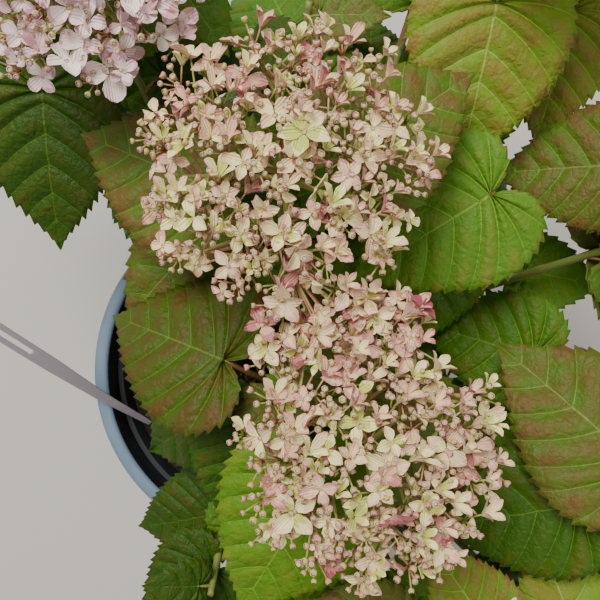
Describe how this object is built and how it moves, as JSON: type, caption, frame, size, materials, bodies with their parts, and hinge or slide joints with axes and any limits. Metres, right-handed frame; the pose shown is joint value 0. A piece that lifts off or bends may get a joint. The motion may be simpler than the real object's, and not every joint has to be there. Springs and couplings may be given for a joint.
{
  "type": "potted smooth hydrangea shrub",
  "caption": "Potted smooth hydrangea in flower: round tapered pot of compost, blank plant label, woody canes, broad heart-shaped leaves and loose domed flower heads.",
  "frame": {"origin": "centre of the pot's flat underside", "axes": "+Z up; +X to the right and +Y up in the picture, which looks almost straight down"},
  "size_m": [0.4749, 0.5226, 0.4078],
  "materials": {
    "pot": "satin grey-blue moulded plastic",
    "compost": "dark crumbly potting compost",
    "label": "smooth white plastic, blank",
    "cane": "thin woody stems, pale brown at the foot and green above",
    "foliage": "soft matt green to olive-bronze leaves with yellow-green veins",
    "flowers": "soft cream to dusty-pink sepals on green-beige stalks"
  },
  "bodies": {
    "root": {"pot": "pot", "compost": "compost", "label": "label", "cane_1": "cane", "leaves_1": "foliage", "flower_head_1": "flowers", "cane_2": "cane", "leaves_2": "foliage", "flower_head_2": "flowers", "cane_3": "cane", "leaves_3": "foliage", "flower_head_3": "flowers", "cane_4": "cane", "leaves_4": "foliage", "flower_head_4": "flowers", "cane_5": "cane", "leaves_5": "foliage", "flower_head_5": "flowers", "cane_6": "cane", "leaves_6": "foliage", "flower_head_6": "flowers", "cane_7": "cane", "leaves_7": "foliage", "cane_8": "cane", "leaves_8": "foliage", "cane_9": "cane", "leaves_9": "foliage", "cane_10": "cane", "leaves_10": "foliage", "cane_11": "cane", "leaves_11": "foliage", "cane_12": "cane", "leaves_12": "foliage", "cane_13": "cane", "leaves_13": "foliage", "cane_14": "cane", "leaves_14": "foliage", "cane_15": "cane", "leaves_15": "foliage", "cane_16": "cane", "leaves_16": "foliage"}
  },
  "joints": []
}
